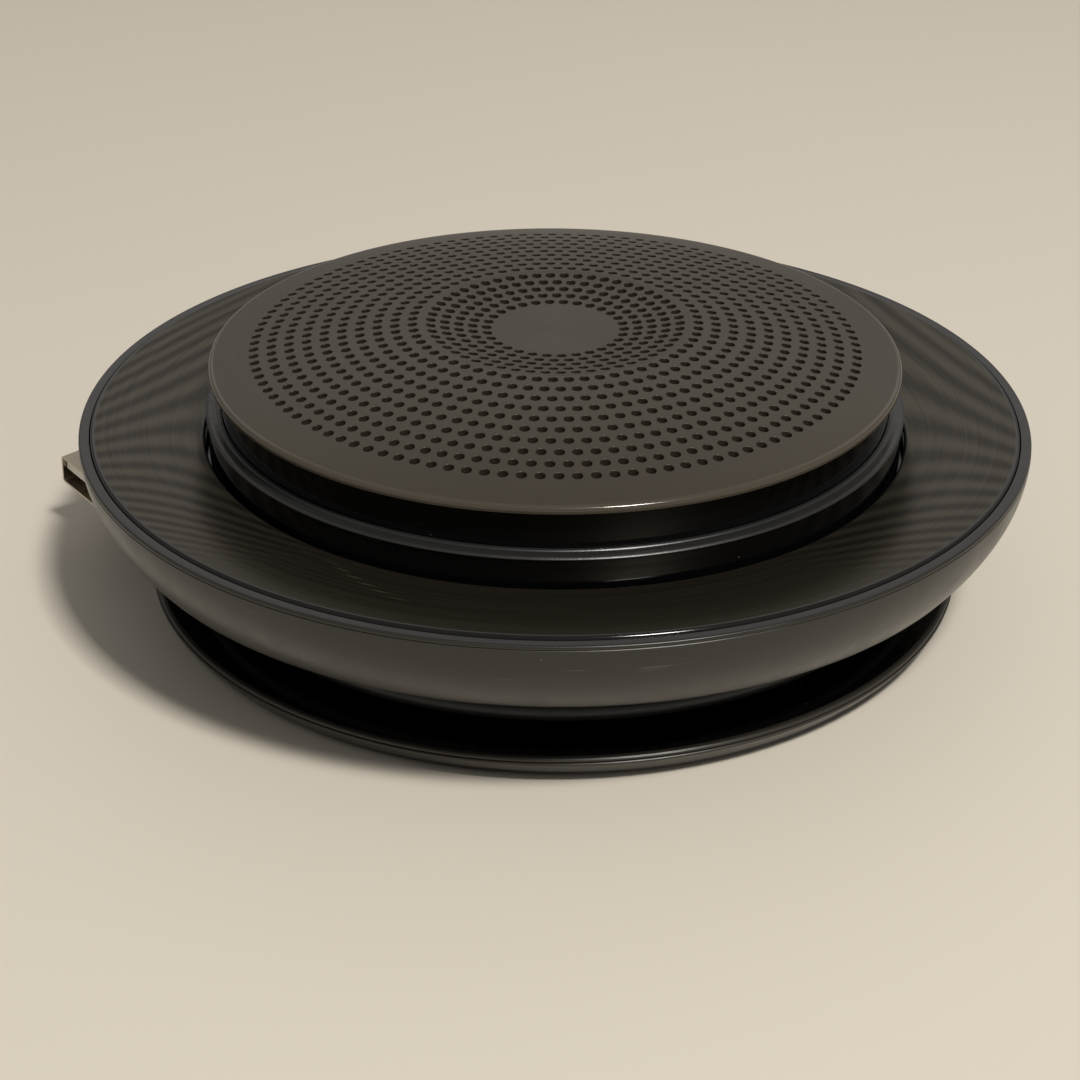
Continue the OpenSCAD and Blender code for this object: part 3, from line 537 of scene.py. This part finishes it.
def rounded(outline, steps=6):
    """Rounds the corners of a closed outline that carry a third number, the radius."""
    points = []
    for i, corner in enumerate(outline):
        here = np.array(corner[:2])
        if len(corner) == 2:
            points.append(here)
            continue
        before = np.array(outline[i - 1][:2]) - here
        after = np.array(outline[(i + 1) % len(outline)][:2]) - here
        a = here + before * corner[2] / np.linalg.norm(before)
        b = here + after * corner[2] / np.linalg.norm(after)
        for t in np.linspace(0, 1, steps + 1):
            points.append((1 - t) ** 2 * a + 2 * t * (1 - t) * here + t ** 2 * b)
    return points


def revolve(name, outline, node, steps=384):
    """A closed ring from a closed outline of (radius, height) points, some with a corner radius."""
    profile = rounded(outline)
    angles = np.arange(steps) * 2 * math.pi / steps
    r, z = np.array(profile).T * MM
    verts = np.stack([np.outer(np.cos(angles), r), np.outer(np.sin(angles), r),
                      np.broadcast_to(z, (steps, len(r)))], axis=2).reshape(-1, 3)
    count = len(profile)
    faces = []
    for i in range(steps):
        a, b = i * count, (i + 1) % steps * count
        for k in range(count):
            m = (k + 1) % count
            faces.append((a + k, b + k, b + m, a + m))
    mesh = bpy.data.meshes.new(name)
    mesh.from_pydata(verts.tolist(), [], faces)
    mesh.shade_smooth()
    mesh.set_sharp_from_angle(angle=math.radians(38))
    return add_piece(name, mesh, node)


def tube(name, path, radius, node, sides=16):
    """A round tube along a smooth path that stays near the horizontal."""
    path = np.array(path)
    ahead = np.gradient(path, axis=0)
    ahead /= np.linalg.norm(ahead, axis=1, keepdims=True)
    across = np.cross(ahead, (0, 0, 1))
    across /= np.linalg.norm(across, axis=1, keepdims=True)
    over = np.cross(across, ahead)
    turn = np.arange(sides) * 2 * math.pi / sides
    rings = path[:, None] + radius * (np.cos(turn)[None, :, None] * across[:, None]
                                      + np.sin(turn)[None, :, None] * over[:, None])
    faces = [tuple(range(sides)), tuple((len(path) - 1) * sides + k for k in reversed(range(sides)))]
    for i in range(len(path) - 1):
        for k in range(sides):
            m = (k + 1) % sides
            faces.append((i * sides + m, i * sides + k, (i + 1) * sides + k, (i + 1) * sides + m))
    mesh = bpy.data.meshes.new(name)
    mesh.from_pydata((rings.reshape(-1, 3) * MM).tolist(), [], faces)
    mesh.shade_smooth()
    mesh.set_sharp_from_angle(angle=math.radians(50))
    return add_piece(name, mesh, node)


# ---- Bowl, touch ring and trim ring ----

# Gap between ring and rim, corner radii, the ledge's width, the height of the ring's
# outer corner before it is rounded, and the height of the ring's seat in the bowl
SEAM = 0.08
RIM_CORNER = 0.36
RING_OUTER_CORNER = 0.75
RING_INNER_CORNER = 0.5
LEDGE_W = 2.15
FACE_OUT = top_of("touch_ring") + 0.07
RING_SEAT = FACE_OUT - 1.5


def add_bowl():
    """The bowl's shell, from the turn at its bottom to the rounded rim and the ring's seat."""
    rim_r = reach_of("lower_shell")
    belly_z = foot_of("lower_shell")
    limb_z = belly_z + TURN_RISE
    limb_r = rim_r - TURN_IN
    deck_r = reach_of("chassis")
    deck_z = RIM_Z - DECK_DROP

    def side(z):
        """Radius of the bowl's side, which draws in more and more towards the bottom."""
        return rim_r - (rim_r - limb_r) * ((RIM_Z - z) / (RIM_Z - limb_z)) ** 2

    outer = [(side(z), z) for z in np.linspace(limb_z, RIM_Z - 0.24, 36)]
    low = belly_z + WALL + 1.4
    inner = [(side(z) - WALL, z) for z in np.linspace(deck_z - 1.6, low, 12)]
    return revolve("bowl", [
        (DRUM_R + 0.1, belly_z), (limb_r - 2.2, limb_z - 0.65, 0.8), (limb_r - 0.45, limb_z - 0.5, 0.4),
        *outer, (rim_r - 0.13, RIM_Z - 0.14), (rim_r - 0.02, RIM_Z - 0.05),
        (rim_r - 0.02, RIM_TOP, RIM_CORNER), (RING_OUT + SEAM, RIM_TOP, 0.06), (RING_OUT + SEAM, RING_SEAT),
        (RING_OUT - 1.46, RING_SEAT), (RING_OUT - 1.46, RING_SEAT - 1.2), (side(RIM_Z - 3) - WALL, RIM_Z - 3),
        (side(RIM_Z - 4) - WALL, RIM_Z - 4), (deck_r + 0.3, RIM_Z - 4), (deck_r + 0.3, deck_z),
        (deck_r - 1.4, deck_z), *inner, (limb_r - 3, belly_z + WALL + 1.1),
        (DRUM_R + 2.2, belly_z + WALL), (DRUM_R + 0.1, belly_z + WALL),
    ], "lower_shell")


def add_ring():
    """The dished touch ring, with its rounded glossy edges."""
    face_in = FACE_OUT - RING_FALL
    return revolve("ring", [
        (RING_IN, face_in - RING_T), (RING_OUT - 2.06, RING_SEAT), (RING_OUT, RING_SEAT),
        (RING_OUT, FACE_OUT, RING_OUTER_CORNER), (RING_IN, face_in, RING_INNER_CORNER),
    ], "touch_ring")


def add_trim():
    """The satin ledge at the foot of the neck: a fine bead inside, a soft shoulder outside."""
    edge_r = reach_of("trim_ring")
    foot_z = foot_of("trim_ring")
    top_z = top_of("trim_ring")
    neck_r = edge_r - LEDGE_W
    return revolve("trim", [
        (neck_r, foot_z), (edge_r - 0.12, foot_z), (edge_r + 0.02, foot_z + 0.2, 0.12),
        (edge_r - 0.3, foot_z + 0.46, 0.16), (edge_r - 0.75, foot_z + 0.54, 0.2),
        (neck_r + 0.7, foot_z + 0.56, 0.08), (neck_r + 0.52, top_z, 0.12), (neck_r, top_z, 0.12),
    ], "trim_ring")


# ---- Cord ----

# The plug's place and slope and the cord's route, as in part.scad in plan. The wound turns
# lie 1.7 mm higher than there: add_cord() takes their height from the base disc's box, whose
# top is the boss in its middle and not the face that carries the cord
PLUG_AZ = 43.4
PLUG_OFF = DRUM_R + PLUG_GAP
PLUG_Z = 9.15
PLUG_PITCH = 2.0
MOUTH_S = 48.0
CORD_R = 1.4
COIL_R = DRUM_R + COIL_W
COIL_PITCH = 2.9
COIL_SWEEP = 1000
LEAD_SWEEP = 64
LEAD_TOP = 10.5
ENTRY_Z = 11.2
RISE_SWEEP = 72


def polar(r, azimuth, z):
    """A point from its radius, its azimuth in degrees and its height."""
    return (r * math.cos(math.radians(azimuth)), r * math.sin(math.radians(azimuth)), z)


def tail(s):
    """Point on the plug's centre line, at distance s before its foot."""
    foot_az = PLUG_AZ + 90
    x, y, _ = polar(PLUG_OFF, foot_az, 0)
    dx, dy, _ = polar(s, PLUG_AZ, 0)
    return (x - dx, y - dy, PLUG_Z + (MOUTH_S - s) * math.tan(math.radians(PLUG_PITCH)))


def smoothed(points, per_span=3):
    """A smooth line through all the points, with a few steps from each to the next."""
    p = np.array(points)
    p = np.vstack([2 * p[0] - p[1], p, 2 * p[-1] - p[-2]])
    line = []
    for a, b, c, d in zip(p, p[1:], p[2:], p[3:]):
        for t in np.arange(per_span) / per_span:
            line.append(0.5 * (2 * b + (c - a) * t + (2 * a - 5 * b + 4 * c - d) * t ** 2
                               + (3 * b - a - 3 * c + d) * t ** 3))
    return line + [p[-2]]


def add_cord():
    """The cord, from the plug down, round the drum and in through its wall."""
    foot_az = PLUG_AZ + 90
    cord_z = top_of("base_disc") + CORD_R + 0.02
    entry_az = foot_az - COIL_SWEEP - 14 + 3 * 360
    lead_r = COIL_R - COIL_PITCH * 56 / 360
    points = [tail(17), tail(12), tail(6)]
    for out, turn, up in ((0, 0, 1), (0.12, 10, 0.944), (0.37, 20, 0.777), (0.61, 30, 0.535),
                          (0.86, 39, 0.275), (1, 48, 0.089), (1, 56, 0)):
        points.append(polar(PLUG_OFF + (lead_r - PLUG_OFF) * out, foot_az - turn,
                            cord_z + (LEAD_TOP - cord_z) * up))
    for turn in range(LEAD_SWEEP, COIL_SWEEP + 1, 6):
        rise = max(0, (turn - COIL_SWEEP + RISE_SWEEP) / RISE_SWEEP)
        points.append(polar(COIL_R - COIL_PITCH * turn / 360, foot_az - turn,
                            cord_z + (ENTRY_Z - cord_z) * rise ** 2 * (3 - 2 * rise)))
    for out, turn in ((1.55, 9), (1.45, 5.6), (0.4, 2.3), (-1.5, -0.6), (-3.5, -2.9), (-5.2, -4.8)):
        points.append(polar(DRUM_R + out, entry_az + turn, ENTRY_Z))
    return tube("cord", smoothed(points), CORD_R, "usb_cord")


# ---- Grille ----

# Holes: radius, rounding of the rim, corners; rows in all and in the dish
HOLE_R = 0.665
HOLE_EDGE = 0.09
CORNERS = 16
HOLE_ROWS = 15
DISH_ROWS = 5
FIRST_HOLES = 5
# Rows of holes: the first radius and the pitch, in the dish and on the dome
DISH_FIRST = 9.6
DISH_PITCH = 1.94
DOME_FIRST = 19.9
DOME_PITCH = 2.446
# Plain border: where it starts, two more rings of points on it, and its rolled edge
BORDER_R = 43.4
BORDER_RINGS = (44.8, 46.2)
ROLL_R = 0.6

CREST_Z = top_of("speaker_grille")
DOME_Z = CREST_Z - math.sqrt(DOME_R ** 2 - CREST_R ** 2)
DISH_Z = CREST_Z + math.sqrt(DISH_R ** 2 - CREST_R ** 2)


def hole_row(k):
    """Radius of a row of holes: close rows in the dish, wider ones on the dome."""
    return DISH_FIRST + DISH_PITCH * k if k < DISH_ROWS else DOME_FIRST + DOME_PITCH * (k - DISH_ROWS)


def holes_in(k):
    """Number of holes in a row."""
    return 6 * (k + FIRST_HOLES)


def skin(r, down=0.0):
    """Height and slope of the sheet's outer face, or of a face below it."""
    r = np.asarray(r, float)
    dome = DOME_R - down
    dish = DISH_R + down
    up = DOME_Z + np.sqrt(dome ** 2 - r ** 2)
    low = DISH_Z - np.sqrt(dish ** 2 - r ** 2)
    on_dome = up < low
    slope = np.where(on_dome, -r / np.sqrt(dome ** 2 - r ** 2), r / np.sqrt(dish ** 2 - r ** 2))
    return np.where(on_dome, up, low), slope


class Sheet:
    """Collects a mesh of loops of points, with a normal at every point."""

    def __init__(self):
        self.verts = []
        self.normals = []
        self.faces = []

    def loop(self, r, angle, z, tilt_r, tilt_a, tilt_z):
        """Adds points in polar form with normals given along r, angle and z."""
        first = len(self.verts)
        c, s = np.cos(angle), np.sin(angle)
        self.verts.extend(np.stack([r * c, r * s, z], 1).tolist())
        normal = np.stack([tilt_r * c - tilt_a * s, tilt_r * s + tilt_a * c, tilt_z], 1)
        self.normals.extend((normal / np.linalg.norm(normal, axis=1, keepdims=True)).tolist())
        return first

    def face_loop(self, r, angle, down, side):
        """A loop on the sheet's face at some depth; side is 1 on top and -1 underneath."""
        z, slope = skin(r, down)
        return self.loop(r, angle, z, -side * slope, 0 * r, side + 0 * r)

    def strip(self, a, b, count):
        """Faces between two loops of the same count of points."""
        for j in range(count):
            m = (j + 1) % count
            self.faces.append((a + j, a + m, b + m, b + j))

    def rings(self, profile, steps, start):
        """Sheet without holes, from a profile of radius, height and normal."""
        angle = start + np.arange(steps) * 2 * math.pi / steps
        last = None
        for r, z, nr, nz in profile:
            ones = np.ones(steps)
            this = self.loop(r * ones, angle, z * ones, nr * ones, 0 * ones, nz * ones)
            if last is not None:
                self.strip(this, last, steps)
            last = this

    def mesh(self, name):
        """The collected mesh, smooth shaded with its own normals."""
        mesh = bpy.data.meshes.new(name)
        mesh.from_pydata((np.array(self.verts) * MM).tolist(), [], self.faces)
        mesh.shade_smooth()
        mesh.normals_split_custom_set_from_vertices(self.normals)
        return mesh


def add_cell(sheet, row_r, angle, width, inner, outer):
    """One hole with the sheet round it, out to the cell's four sides."""
    turn = math.radians(45) + np.arange(CORNERS) * 2 * math.pi / CORNERS
    side = np.arange(4) / 4
    r_out = np.concatenate([outer + (inner - outer) * side, np.full(4, inner),
                            inner + (outer - inner) * side, np.full(4, outer)])
    a_out = np.concatenate([np.full(4, width / 2), width / 2 - width * side,
                            np.full(4, -width / 2), -width / 2 + width * side])
    loops = []
    for radius, drop in ((HOLE_R + HOLE_EDGE, 0), (HOLE_R, HOLE_EDGE), (HOLE_R, SHEET)):
        r = row_r + radius * np.cos(turn)
        a = angle + radius * np.sin(turn) / row_r
        if drop:
            z, _ = skin(r, drop)
            loops.append(sheet.loop(r, a, z, -np.cos(turn), -np.sin(turn), 0.02 + 0 * r))
        else:
            loops.append(sheet.face_loop(r, a, 0, 1))
    edge = sheet.face_loop(r_out, angle + a_out, 0, 1)
    under = sheet.face_loop(r_out, angle + a_out, SHEET, -1)
    r = row_r + HOLE_R * np.cos(turn)
    mouth = sheet.face_loop(r, angle + HOLE_R * np.sin(turn) / row_r, SHEET, -1)
    sheet.strip(edge, loops[0], CORNERS)
    sheet.strip(loops[0], loops[1], CORNERS)
    sheet.strip(loops[1], loops[2], CORNERS)
    sheet.strip(mouth, under, CORNERS)


def add_rows(sheet):
    """All rows of holes, each out to half way to the next row or to the crest."""
    rows = [hole_row(k) for k in range(HOLE_ROWS)]
    limits = [DISC_R]
    for k in range(HOLE_ROWS - 1):
        limits.append(CREST_R if k == DISH_ROWS - 1 else (rows[k] + rows[k + 1]) / 2)
    limits.append(BORDER_R)
    for k, row_r in enumerate(rows):
        width = 2 * math.pi / holes_in(k)
        for i in range(holes_in(k)):
            add_cell(sheet, row_r, 2 * math.pi * i / holes_in(k), width, limits[k], limits[k + 1])


def add_border(sheet):
    """The plain border outside the holes and its edge, rolled down and round the sheet."""
    edge_z = foot_of("speaker_grille")
    border = []
    for r in (BORDER_R, *BORDER_RINGS, GRILLE_R - ROLL_R):
        z, slope = skin(r)
        border.append((r, float(z), -float(slope), 1))
    roll_z = border[-1][1] - ROLL_R
    for a in range(75, -1, -15):
        c, s = math.cos(math.radians(a)), math.sin(math.radians(a))
        border.append((GRILLE_R - ROLL_R + ROLL_R * c, roll_z + ROLL_R * s, c, s))
    border += [(GRILLE_R, edge_z + 0.12, 1, 0), (GRILLE_R - 0.12, edge_z, 0.5, -1),
               (GRILLE_R - SHEET, edge_z, -0.3, -1), (GRILLE_R - SHEET, edge_z + 0.15, -1, 0)]
    for r in (GRILLE_R - SHEET, *reversed(BORDER_RINGS), BORDER_R):
        z, slope = skin(r, SHEET)
        border.append((r, float(z), float(slope), -1))
    steps = 4 * holes_in(HOLE_ROWS - 1)
    sheet.rings(border, steps, -4 * math.pi / steps)


def add_disc(sheet):
    """The bare disc in the middle, top and underside."""
    steps = 4 * holes_in(0)
    start = -4 * math.pi / steps
    centre = 0.001
    z = float(skin(DISC_R)[0])
    sheet.rings([(centre, z, 0, 1), (4, z, 0, 1), (DISC_R - 0.35, z, 0, 1), (DISC_R, z, -0.08, 1)],
                steps, start)
    low = float(skin(DISC_R, SHEET)[0])
    sheet.rings([(DISC_R, low, 0, -1), (4, low, 0, -1), (centre, low, 0, -1)], steps, start)


def add_grille():
    """The pressed sheet with its rows of round holes, each hole in a cell of its own."""
    sheet = Sheet()
    add_rows(sheet)
    add_border(sheet)
    add_disc(sheet)
    return add_piece("grille_sheet", sheet.mesh("grille_sheet"), "speaker_grille")


# ---- The floor and the light ----

def add_stage():
    """A plain pale table top, large enough to fill the view."""
    bpy.ops.mesh.primitive_plane_add(size=6.0, location=(0, 0.5, 0))
    floor = bpy.context.object
    floor.name = "floor"
    paint = Paint("floor", (0.76, 0.70, 0.60), 0.6)
    paint.tint(paint.noise(paint.place(), 0.004, 3), 0.98, 1.02)
    floor.data.materials.append(paint.material)


LAMP_AIM = (0, 0, 0.02)
LAMP_COLOR = (1, 0.97, 0.92)
SURROUND_COLOR = (1, 0.97, 0.93)
SURROUND_LEVEL = 0.24


def add_lamp(name, place, size, power):
    """A soft area lamp, turned to the unit."""
    data = bpy.data.lights.new(name, "AREA")
    data.shape = "RECTANGLE"
    data.size, data.size_y = size
    data.energy = power
    data.color = LAMP_COLOR
    lamp = bpy.data.objects.new(name, data)
    lamp.location = place
    lamp.rotation_euler = (Vector(LAMP_AIM) - Vector(place)).to_track_quat("-Z", "Y").to_euler()
    bpy.context.scene.collection.objects.link(lamp)


def add_light():
    """A key lamp high in front on the right, a wide weak one behind, and an even surround."""
    add_lamp("key", (0.38, -0.55, 1.15), (0.2, 0.2), 13.0)
    add_lamp("fill", (0.15, 1.3, 0.9), (2.0, 0.8), 1.7)
    world = bpy.data.worlds.new("surround")
    bpy.context.scene.world = world
    world.use_nodes = True
    background = world.node_tree.nodes["Background"]
    background.inputs["Color"].default_value = (*SURROUND_COLOR, 1)
    background.inputs["Strength"].default_value = SURROUND_LEVEL


# ---- Making it ----

add_camera()
add_cord()
add_bowl()
add_ring()
add_trim()
add_grille()
for node, slot in SLOTS.items():
    for place in frame["nodes"][node].material_slots:
        place.material = MATERIALS[slot]
add_stage()
add_light()
bpy.context.scene.view_settings.view_transform = "Standard"
